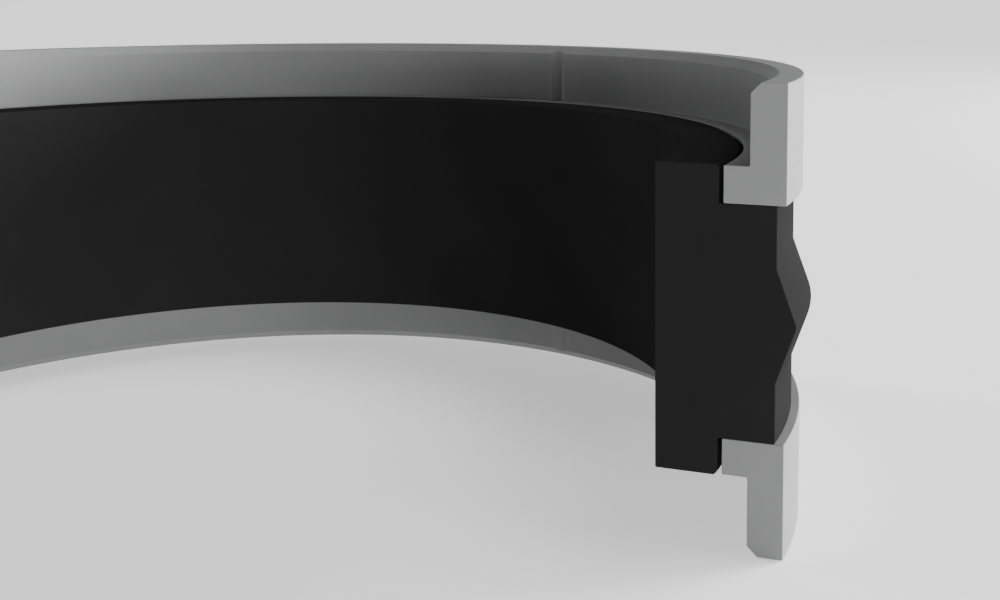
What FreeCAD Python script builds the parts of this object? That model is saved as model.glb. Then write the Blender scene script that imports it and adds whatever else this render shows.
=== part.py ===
"""Compact double-acting piston seal, shown cut away over a quarter turn.

A rubber sealing ring with a full-height neck, two shoulders and one sealing lip is held
between two guide rings of L section. Millimetres, +Z along the ring axis, origin on the
axis at mid-height. The missing quarter is centred on -Y.
"""

import FreeCAD
import Part
import math
import os

# The cylinder and the piston that the set is made for
BORE_RADIUS = 50.0
GROOVE_DEPTH = 10.0          # from the bore to the groove floor

# Sealing ring
FLOOR_GRIP = 0.25            # how far the ring is smaller inside than the groove floor
SEAL_HEIGHT = 24.0
NECK_CORNER = 0.25           # chamfer on the two outer corners of the neck
LAND_DEPTH = 0.7             # the lands lie this far inside the guide rings' outer wall
LIP_SQUEEZE = 0.7            # the lip stands this far outside the cylinder bore
LIP_HALF_HEIGHT = 4.35
LIP_TIP_RADIUS = 1.1

# Guide rings
GUIDE_RUNNING_GAP = 0.1      # to the cylinder bore, on the radius
GUIDE_WALL = 2.8
GUIDE_FLANGE = 6.2           # the wall beyond the leg, up to the ring's end
LEG_THICKNESS = 2.85
LEG_REACH = 2.0              # from the wall inwards
LEG_STEP = 0.1               # the leg's outer face lies this far inside the neck's end
NECK_GAP = 0.4               # between the leg and the neck, on the radius
MOUTH_CHAMFER = 0.8          # inner corner at the ring's end

# Shallow relief groove down the inside of each guide ring's wall
RELIEF_RADIUS = 1.2
RELIEF_DEPTH = 0.3
RELIEF_ANGLE = 29.3          # from +X

# The quarter that is cut away
WINDOW_ANGLE = 90.0
WINDOW_CENTRE = -90.0

AXIS = FreeCAD.Vector(0, 0, 1)
ORIGIN = FreeCAD.Vector(0, 0, 0)

# Radii, from the bore inwards
lip_r = BORE_RADIUS + LIP_SQUEEZE
guide_outer_r = BORE_RADIUS - GUIDE_RUNNING_GAP
land_r = guide_outer_r - LAND_DEPTH
guide_inner_r = guide_outer_r - GUIDE_WALL
leg_inner_r = guide_inner_r - LEG_REACH
neck_r = leg_inner_r - NECK_GAP
seal_inner_r = BORE_RADIUS - GROOVE_DEPTH - FLOOR_GRIP

# Levels above mid-height; the lower half mirrors them
neck_end_z = SEAL_HEIGHT / 2.0
leg_outer_z = neck_end_z - LEG_STEP
shoulder_z = leg_outer_z - LEG_THICKNESS
guide_end_z = leg_outer_z + GUIDE_FLANGE

# The ring's material starts at one face of the window and turns round to the other
start_angle = WINDOW_CENTRE + WINDOW_ANGLE / 2.0
sweep_angle = 360.0 - WINDOW_ANGLE


def point(radius, level):
    return FreeCAD.Vector(radius, 0, level)


def line(a, b):
    return Part.makeLine(point(*a), point(*b))


def lines(corners):
    return [line(a, b) for a, b in zip(corners[:-1], corners[1:])]


def turned(edges):
    """A closed profile in the XZ plane, turned about the axis over the kept angle."""
    face = Part.Face(Part.Wire(edges))
    face.rotate(ORIGIN, AXIS, start_angle)
    return face.revolve(ORIGIN, AXIS, sweep_angle)


def lip_tangent():
    """Where the lip's straight flank, drawn from the edge of the land, meets the round tip."""
    centre_r = lip_r - LIP_TIP_RADIUS
    run = land_r - centre_r
    reach = math.hypot(run, LIP_HALF_HEIGHT)
    turn = math.atan2(LIP_HALF_HEIGHT, run) - math.acos(LIP_TIP_RADIUS / reach)
    return (
        centre_r + LIP_TIP_RADIUS * math.cos(turn),
        LIP_TIP_RADIUS * math.sin(turn),
    )


def sealing_ring():
    tip_r, tip_z = lip_tangent()
    upper = [
        (tip_r, tip_z),
        (land_r, LIP_HALF_HEIGHT),
        (land_r, shoulder_z),
        (neck_r, shoulder_z),
        (neck_r, neck_end_z - NECK_CORNER),
        (neck_r - NECK_CORNER, neck_end_z),
        (seal_inner_r, neck_end_z),
    ]
    lower = [(radius, -level) for radius, level in reversed(upper)]
    tip = Part.Arc(
        point(tip_r, -tip_z),
        point(lip_r, 0),
        point(tip_r, tip_z),
    ).toShape()
    return turned(lines(upper + lower) + [tip])


def relief():
    """A round bar along the wall's inside. What it cuts runs out on the mouth chamfer."""
    bar = Part.makeCylinder(RELIEF_RADIUS, guide_end_z - leg_outer_z, point(0, leg_outer_z), AXIS)
    bar.translate(point(guide_inner_r + RELIEF_DEPTH - RELIEF_RADIUS, 0))
    bar.rotate(ORIGIN, AXIS, RELIEF_ANGLE)
    return bar


def upper_guide_ring():
    corners = [
        (leg_inner_r, shoulder_z),
        (guide_outer_r, shoulder_z),
        (guide_outer_r, guide_end_z),
        (guide_inner_r + MOUTH_CHAMFER, guide_end_z),
        (guide_inner_r, guide_end_z - MOUTH_CHAMFER),
        (guide_inner_r, leg_outer_z),
        (leg_inner_r, leg_outer_z),
        (leg_inner_r, shoulder_z),
    ]
    return turned(lines(corners)).cut(relief())


def lower_guide_ring():
    """The same ring, turned over so that its leg faces the other shoulder."""
    return upper_guide_ring().mirror(ORIGIN, AXIS)


def export(name, shape):
    shape.exportStep("parts/" + name + ".step")
    print(name, len(shape.Solids), "solid(s)", round(shape.Volume, 2), "mm3")


os.makedirs("parts", exist_ok=True)
export("sealing_ring", sealing_ring())
export("upper_guide_ring", upper_guide_ring())
export("lower_guide_ring", lower_guide_ring())
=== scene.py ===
import math

import bmesh
import bpy
from mathutils import Matrix, Vector


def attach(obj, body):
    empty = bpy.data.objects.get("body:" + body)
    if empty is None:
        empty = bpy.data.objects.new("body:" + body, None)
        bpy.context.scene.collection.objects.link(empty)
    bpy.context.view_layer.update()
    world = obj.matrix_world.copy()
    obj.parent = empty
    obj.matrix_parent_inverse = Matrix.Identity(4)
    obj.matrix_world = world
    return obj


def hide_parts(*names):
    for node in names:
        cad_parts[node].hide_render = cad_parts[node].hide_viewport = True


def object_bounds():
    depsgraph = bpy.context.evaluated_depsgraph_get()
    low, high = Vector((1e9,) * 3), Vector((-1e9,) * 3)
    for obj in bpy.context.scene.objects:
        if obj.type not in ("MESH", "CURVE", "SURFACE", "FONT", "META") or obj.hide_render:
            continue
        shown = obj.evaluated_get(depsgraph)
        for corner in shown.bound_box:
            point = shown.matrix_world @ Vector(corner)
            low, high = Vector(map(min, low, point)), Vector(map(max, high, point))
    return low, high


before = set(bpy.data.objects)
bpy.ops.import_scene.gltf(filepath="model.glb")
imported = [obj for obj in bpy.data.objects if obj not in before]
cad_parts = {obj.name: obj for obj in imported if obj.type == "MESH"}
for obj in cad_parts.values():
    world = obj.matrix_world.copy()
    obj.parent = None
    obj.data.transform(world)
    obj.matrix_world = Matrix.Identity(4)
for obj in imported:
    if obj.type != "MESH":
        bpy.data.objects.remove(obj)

cad_lo, cad_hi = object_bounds()
MM = 0.001

# Sizes of the piston seal, in millimetres: the same as the solids'
SEAL_INNER_R = 39.75
NECK_R = 44.7
LEG_INNER_R = 45.1
GUIDE_INNER_R = 47.1
GUIDE_OUTER_R = 49.9
LAND_R = 49.2
LIP_R = 50.7
LIP_HALF_HEIGHT = 4.35
LIP_TIP_RADIUS = 1.1
NECK_END_Z = 12.0
NECK_CORNER = 0.25
LEG_OUTER_Z = 11.9
SHOULDER_Z = 9.05
GUIDE_END_Z = 18.1
MOUTH_CHAMFER = 0.8
RELIEF_RADIUS = 1.2
RELIEF_DEPTH = 0.3

# Angles about the ring's axis, in degrees
RELIEF_ANGLE = 29.3
RELIEF_REACH = 1.6           # the closer sections at the groove lie this far to either side of it
WINDOW_START = -45.0         # the two faces of the cut-away quarter
WINDOW_END = 225.0
STEP = 0.75                  # between two sections of a ring
FINE_STEP = 0.04

# Rounding of the edges, in millimetres
SEAL_EDGE = 0.12
GUIDE_EDGE = 0.1
CUT_EDGE = 0.06              # round both section faces
RELIEF_EDGE = 0.03

# How the outlines are divided
ROUNDING_CUTS = 3
NEARLY_STRAIGHT = 0.3        # radians; a corner that turns less isn't rounded
LARGEST_SHARE = 0.45         # of a side that one rounding may take
TIP_CUTS = 20
FLAT_FACE_WEIGHT = 90


def rounded(corners, radius):
    """A closed outline with each of its corners turned into a small arc."""
    out = []
    count = len(corners)
    for i in range(count):
        here = Vector(corners[i])
        before = Vector(corners[i - 1]) - here
        after = Vector(corners[(i + 1) % count]) - here
        turn = math.pi - before.angle(after)
        if turn < NEARLY_STRAIGHT:
            out.append(here)
            continue
        reach = radius * math.tan(turn / 2)
        reach = min(reach, LARGEST_SHARE * before.length, LARGEST_SHARE * after.length)
        a = here + before.normalized() * reach
        b = here + after.normalized() * reach
        real = reach / math.tan(turn / 2)
        inwards = (before.normalized() + after.normalized()).normalized()
        centre = here + inwards * (real / math.cos(turn / 2))
        for k in range(ROUNDING_CUTS + 1):
            spoke = a.lerp(b, k / ROUNDING_CUTS) - centre
            out.append(centre + spoke.normalized() * real)
    return [(p.x, p.y) for p in out]


def lip_outline():
    """Straight flanks with a round tip between them, from the lower land's edge upwards."""
    centre_r = LIP_R - LIP_TIP_RADIUS
    run = LAND_R - centre_r
    reach = math.hypot(run, LIP_HALF_HEIGHT)
    turn = math.atan2(LIP_HALF_HEIGHT, run) - math.acos(LIP_TIP_RADIUS / reach)
    arc = [turn * (2.0 * k / TIP_CUTS - 1.0) for k in range(TIP_CUTS + 1)]
    tip = [(centre_r + LIP_TIP_RADIUS * math.cos(t), LIP_TIP_RADIUS * math.sin(t)) for t in arc]
    return [(LAND_R, -LIP_HALF_HEIGHT)] + tip + [(LAND_R, LIP_HALF_HEIGHT)]


def seal_outline(angle):
    """The sealing ring, the same at every angle."""
    half = [
        (LAND_R, SHOULDER_Z),
        (NECK_R, SHOULDER_Z),
        (NECK_R, NECK_END_Z - NECK_CORNER),
        (NECK_R - NECK_CORNER, NECK_END_Z),
        (SEAL_INNER_R, NECK_END_Z),
    ]
    return rounded(lip_outline() + half + [(r, -z) for r, z in reversed(half)], SEAL_EDGE)


def guide_wall_r(angle):
    """The radius of the guide wall's inside, or of the groove's floor, with a soft edge."""
    away = math.radians(angle - RELIEF_ANGLE)
    bar_r = GUIDE_INNER_R + RELIEF_DEPTH - RELIEF_RADIUS
    aside = bar_r * math.sin(away)
    if abs(aside) >= RELIEF_RADIUS:
        return GUIDE_INNER_R
    floor_r = bar_r * math.cos(away) + math.sqrt(RELIEF_RADIUS ** 2 - aside ** 2)
    apart = floor_r - GUIDE_INNER_R
    return (floor_r + GUIDE_INNER_R + math.hypot(apart, RELIEF_EDGE)) / 2


def guide_outline(angle):
    """The upper guide ring. The groove runs out on the mouth chamfer."""
    wall_r = guide_wall_r(angle)
    return rounded([
        (LEG_INNER_R, SHOULDER_Z),
        (GUIDE_OUTER_R, SHOULDER_Z),
        (GUIDE_OUTER_R, GUIDE_END_Z),
        (GUIDE_INNER_R + MOUTH_CHAMFER, GUIDE_END_Z),
        (wall_r, GUIDE_END_Z - MOUTH_CHAMFER + wall_r - GUIDE_INNER_R),
        (wall_r, LEG_OUTER_Z),
        (LEG_INNER_R, LEG_OUTER_Z),
    ], GUIDE_EDGE)


def turned_over(outline_at):
    """The lower guide ring's outline, from the upper one's."""
    return lambda angle: [(r, -z) for r, z in outline_at(angle)]


def spread(start, end, step):
    count = int(round((end - start) / step))
    return [start + (end - start) * k / count for k in range(count + 1)]


def ring_angles():
    """From one section face round to the other, closer together at the groove."""
    before = RELIEF_ANGLE - RELIEF_REACH
    after = RELIEF_ANGLE + RELIEF_REACH
    near = spread(before, after, FINE_STEP)
    return spread(WINDOW_START, before, STEP) + near[1:-1] + spread(after, WINDOW_END, STEP)


def ring_piece(name, node, outline_at, material):
    """Joins the outlines of (radius, height) at each angle about Z, and caps the two ends."""
    mesh = bmesh.new()
    rows = []
    for angle in ring_angles():
        x = math.cos(math.radians(angle)) * MM
        y = math.sin(math.radians(angle)) * MM
        rows.append([mesh.verts.new((r * x, r * y, z * MM)) for r, z in outline_at(angle)])
    for row, beside in zip(rows[:-1], rows[1:]):
        for i in range(len(row)):
            mesh.faces.new((row[i - 1], beside[i - 1], beside[i], row[i]))
    caps = [mesh.faces.new(rows[0]), mesh.faces.new(rows[-1])]
    bmesh.ops.recalc_face_normals(mesh, faces=mesh.faces)
    borders = [edge for cap in caps for edge in cap.edges]
    bmesh.ops.bevel(
        mesh,
        geom=borders,
        offset=CUT_EDGE * MM,
        offset_type="OFFSET",
        segments=2,
        profile=0.5,
        affect="EDGES",
    )
    for face in mesh.faces:
        face.smooth = True
    data = bpy.data.meshes.new(name)
    mesh.to_mesh(data)
    mesh.free()
    data.materials.append(material)
    piece = bpy.data.objects.new(name, data)
    bpy.context.collection.objects.link(piece)
    weighted = piece.modifiers.new("Flat faces", "WEIGHTED_NORMAL")
    weighted.mode = "FACE_AREA_WITH_ANGLE"
    weighted.weight = FLAT_FACE_WEIGHT
    weighted.keep_sharp = True
    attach(piece, "root")
    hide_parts(node)


# Noise keeps mostly between these two values, so they are spread over the whole range
NOISE_LOW = 0.3
NOISE_HIGH = 0.7
BUMP_HEIGHT = 0.00003        # metres


class Nodes:
    """Short names for the few shader nodes that the materials use."""

    def __init__(self, name):
        self.material = bpy.data.materials.new(name)
        self.material.use_nodes = True
        self.tree = self.material.node_tree
        self.shader = self.tree.nodes["Principled BSDF"]
        self.place = self.add("ShaderNodeTexCoord").outputs["Object"]

    def add(self, kind, **values):
        node = self.tree.nodes.new(kind)
        for key, value in values.items():
            setattr(node, key, value)
        return node

    def link(self, a, b):
        self.tree.links.new(a, b)

    def noise(self, vector, scale, detail, rough):
        node = self.add("ShaderNodeTexNoise")
        node.inputs["Scale"].default_value = scale
        node.inputs["Detail"].default_value = detail
        node.inputs["Roughness"].default_value = rough
        self.link(vector, node.inputs["Vector"])
        return node.outputs["Fac"]

    def ramp(self, value, low, high):
        node = self.add("ShaderNodeValToRGB")
        first, last = node.color_ramp.elements
        first.position = NOISE_LOW
        last.position = NOISE_HIGH
        first.color = (*low, 1.0)
        last.color = (*high, 1.0)
        self.link(value, node.inputs["Fac"])
        return node.outputs["Color"]

    def span(self, value, low, high):
        node = self.add("ShaderNodeMapRange")
        node.inputs["From Min"].default_value = NOISE_LOW
        node.inputs["From Max"].default_value = NOISE_HIGH
        node.inputs["To Min"].default_value = low
        node.inputs["To Max"].default_value = high
        self.link(value, node.inputs["Value"])
        return node.outputs["Result"]

    def maths(self, kind, *values):
        node = self.add("ShaderNodeMath", operation=kind)
        for socket, value in zip(node.inputs, values):
            self.link(value, socket)
        return node.outputs[0]

    def turned(self):
        """(radius, height, 0): varies across a turned or moulded ring, and not round it."""
        parts = self.add("ShaderNodeSeparateXYZ")
        self.link(self.place, parts.inputs[0])
        x, y, z = parts.outputs
        square = self.maths("ADD", self.maths("MULTIPLY", x, x), self.maths("MULTIPLY", y, y))
        radius = self.maths("SQRT", square)
        join = self.add("ShaderNodeCombineXYZ")
        self.link(radius, join.inputs[0])
        self.link(z, join.inputs[1])
        return join.outputs[0]

    def bump(self, height, strength, under=None):
        node = self.add("ShaderNodeBump")
        node.inputs["Strength"].default_value = strength
        node.inputs["Distance"].default_value = BUMP_HEIGHT
        self.link(height, node.inputs["Height"])
        if under is not None:
            self.link(under, node.inputs["Normal"])
        return node.outputs["Normal"]


def guide_plastic():
    """Grey filled plastic, turned: a fine lay round the ring, a little mottle and hardly any gloss."""
    n = Nodes("Guide plastic")
    lay = n.noise(n.turned(), scale=2600.0, detail=2.0, rough=0.6)
    grain = n.noise(n.place, scale=2200.0, detail=3.0, rough=0.6)
    cloud = n.noise(n.place, scale=90.0, detail=4.0, rough=0.6)
    colour = n.ramp(cloud, low=(0.212, 0.213, 0.215), high=(0.236, 0.237, 0.239))
    n.link(colour, n.shader.inputs["Base Color"])
    n.link(n.span(lay, low=0.44, high=0.56), n.shader.inputs["Roughness"])
    fine = n.bump(grain, strength=0.1)
    n.link(n.bump(lay, strength=0.15, under=fine), n.shader.inputs["Normal"])
    n.shader.inputs["Specular IOR Level"].default_value = 0.06
    return n.material


def seal_rubber():
    """Black moulded rubber: a smooth dull skin with a fine grain and a slight bloom."""
    n = Nodes("Seal rubber")
    grain = n.noise(n.place, scale=1800.0, detail=4.0, rough=0.65)
    flow = n.noise(n.turned(), scale=700.0, detail=2.0, rough=0.5)
    cloud = n.noise(n.place, scale=60.0, detail=4.0, rough=0.6)
    colour = n.ramp(cloud, low=(0.016, 0.016, 0.0163), high=(0.0196, 0.0196, 0.0199))
    n.link(colour, n.shader.inputs["Base Color"])
    n.link(n.span(cloud, low=0.62, high=0.72), n.shader.inputs["Roughness"])
    fine = n.bump(grain, strength=0.1)
    n.link(n.bump(flow, strength=0.06, under=fine), n.shader.inputs["Normal"])
    n.shader.inputs["Specular IOR Level"].default_value = 0.0
    return n.material


rubber = seal_rubber()
plastic = guide_plastic()
ring_piece("Sealing_ring", "sealing_ring", seal_outline, rubber)
ring_piece("Upper_guide_ring", "upper_guide_ring", guide_outline, plastic)
ring_piece("Lower_guide_ring", "lower_guide_ring", turned_over(guide_outline), plastic)

# The pale floor that the ring lies on, which glows a little as a lit table does; metres
FLOOR_REACH = 4.0
FLOOR_GAP = 0.0001
FLOOR_GREY = 0.86
FLOOR_GLOW = 0.62


def add_floor():
    level = cad_lo.z - FLOOR_GAP
    square = [(-1, -1), (1, -1), (1, 1), (-1, 1)]
    mesh = bpy.data.meshes.new("Floor")
    mesh.from_pydata([(x * FLOOR_REACH, y * FLOOR_REACH, level) for x, y in square], [], [(0, 1, 2, 3)])
    floor = bpy.data.objects.new("Floor", mesh)
    bpy.context.collection.objects.link(floor)
    pale = bpy.data.materials.new("Floor")
    pale.use_nodes = True
    shader = pale.node_tree.nodes["Principled BSDF"]
    shader.inputs["Base Color"].default_value = (FLOOR_GREY, FLOOR_GREY, FLOOR_GREY, 1.0)
    shader.inputs["Roughness"].default_value = 0.9
    shader.inputs["Emission Color"].default_value = (1.0, 1.0, 1.0, 1.0)
    shader.inputs["Emission Strength"].default_value = FLOOR_GLOW
    shader.inputs["Specular IOR Level"].default_value = 0.1
    mesh.materials.append(pale)


# The backdrop: its strength up to the first height, and its strength from the second upwards.
# A height is the upward part of a direction of length 1.
BACKDROP = (0.06, 1.1)
CEILING = (0.13, 0.05)


def add_world():
    """A pale backdrop low round the horizon, under a dim ceiling."""
    world = bpy.data.worlds.new("Studio")
    world.use_nodes = True
    tree = world.node_tree
    back = tree.nodes["Background"]
    back.inputs["Color"].default_value = (1.0, 1.0, 1.0, 1.0)
    direction = tree.nodes.new("ShaderNodeTexCoord").outputs["Generated"]
    parts = tree.nodes.new("ShaderNodeSeparateXYZ")
    fall = tree.nodes.new("ShaderNodeMapRange")
    fall.inputs["From Min"].default_value, fall.inputs["To Min"].default_value = BACKDROP
    fall.inputs["From Max"].default_value, fall.inputs["To Max"].default_value = CEILING
    tree.links.new(direction, parts.inputs[0])
    tree.links.new(parts.outputs["Z"], fall.inputs["Value"])
    tree.links.new(fall.outputs["Result"], back.inputs["Strength"])
    bpy.context.scene.world = world


# The lights. Each shines to the ring's middle from an azimuth about Z and an elevation, in degrees.
# Suns: azimuth, elevation, angle that the light fills, strength, and whether it casts shadows.
SUNS = {
    "Key": (-10.0, 11.0, 12.0, 2.9, True),
    "Fill": (0.0, 3.0, 15.0, 0.8, False),
    "Above, right": (-40.0, 50.0, 30.0, 0.9, True),
    "Overhead": (0.0, 65.0, 30.0, 1.15, True),
    "Above, left": (130.0, 27.0, 8.0, 0.95, True),
}
SUN_DISTANCE = 2.0
# Softboxes: azimuth, elevation, width and height in metres, and watts
SOFTBOXES = {
    "Right": (0.0, 6.0, 0.2, 0.1, 7.8),
    "Front": (-85.0, 2.5, 0.3, 0.04, 1.75),
}
SOFTBOX_DISTANCE = 0.6


def add_light(name, kind, azimuth, elevation, distance, energy):
    """A light that shines to the ring's middle from a direction in degrees, metres away."""
    flat = distance * math.cos(math.radians(elevation))
    place = Vector((
        flat * math.cos(math.radians(azimuth)),
        flat * math.sin(math.radians(azimuth)),
        distance * math.sin(math.radians(elevation)),
    ))
    light = bpy.data.lights.new(name, kind)
    light.energy = energy
    lamp = bpy.data.objects.new(name, light)
    bpy.context.collection.objects.link(lamp)
    lamp.location = place
    lamp.rotation_euler = (-place).to_track_quat("-Z", "Y").to_euler()
    return light


def add_lights():
    for name, (azimuth, elevation, angle, strength, shadow) in SUNS.items():
        light = add_light(name, "SUN", azimuth, elevation, SUN_DISTANCE, strength)
        light.angle = math.radians(angle)
        light.use_shadow = shadow
    for name, (azimuth, elevation, width, height, watts) in SOFTBOXES.items():
        light = add_light(name, "AREA", azimuth, elevation, SOFTBOX_DISTANCE, watts)
        light.shape = "RECTANGLE"
        light.size = width
        light.size_y = height


# The camera, from the edges measured in the photograph: millimetres, degrees and pixels of a
# picture of 1000 x 600. It stands in front of the axis, turned about it by CAMERA_TURN.
CAMERA_TURN = -7.68
CAMERA_DISTANCE = 117.64
CAMERA_HEIGHT = 25.37
CAMERA_YAW = 16.662
CAMERA_PITCH = 7.242
CAMERA_ROLL = -0.258
FOCAL_PX = 1321.63
CENTRE_X_PX = 608.84
CENTRE_Y_PX = 150.0
WIDE_PX = 1000.0
HIGH_PX = 600.0
SENSOR_MM = 36.0
NEAREST = 0.005              # metres; what is closer to the lens isn't drawn


def add_camera():
    yaw, pitch, roll = (math.radians(a) for a in (CAMERA_YAW, CAMERA_PITCH, CAMERA_ROLL))
    forward = Vector((
        math.sin(yaw) * math.cos(pitch),
        math.cos(yaw) * math.cos(pitch),
        -math.sin(pitch),
    ))
    level = Vector((math.cos(yaw), -math.sin(yaw), 0.0))
    upright = level.cross(forward)
    right = level * math.cos(roll) + upright * math.sin(roll)
    up = upright * math.cos(roll) - level * math.sin(roll)
    eye = Vector((0.0, -CAMERA_DISTANCE * MM, CAMERA_HEIGHT * MM))
    lens = bpy.data.cameras.new("Camera")
    lens.sensor_width = SENSOR_MM
    lens.lens = SENSOR_MM * FOCAL_PX / WIDE_PX
    lens.shift_x = (WIDE_PX / 2 - CENTRE_X_PX) / WIDE_PX
    lens.shift_y = (CENTRE_Y_PX - HIGH_PX / 2) / WIDE_PX
    lens.clip_start = NEAREST
    camera = bpy.data.objects.new("Camera", lens)
    bpy.context.collection.objects.link(camera)
    place = Matrix((
        (right.x, up.x, -forward.x, eye.x),
        (right.y, up.y, -forward.y, eye.y),
        (right.z, up.z, -forward.z, eye.z),
        (0.0, 0.0, 0.0, 1.0),
    ))
    camera.matrix_world = Matrix.Rotation(math.radians(CAMERA_TURN), 4, "Z") @ place
    bpy.context.scene.camera = camera


add_floor()
add_world()
add_lights()
add_camera()
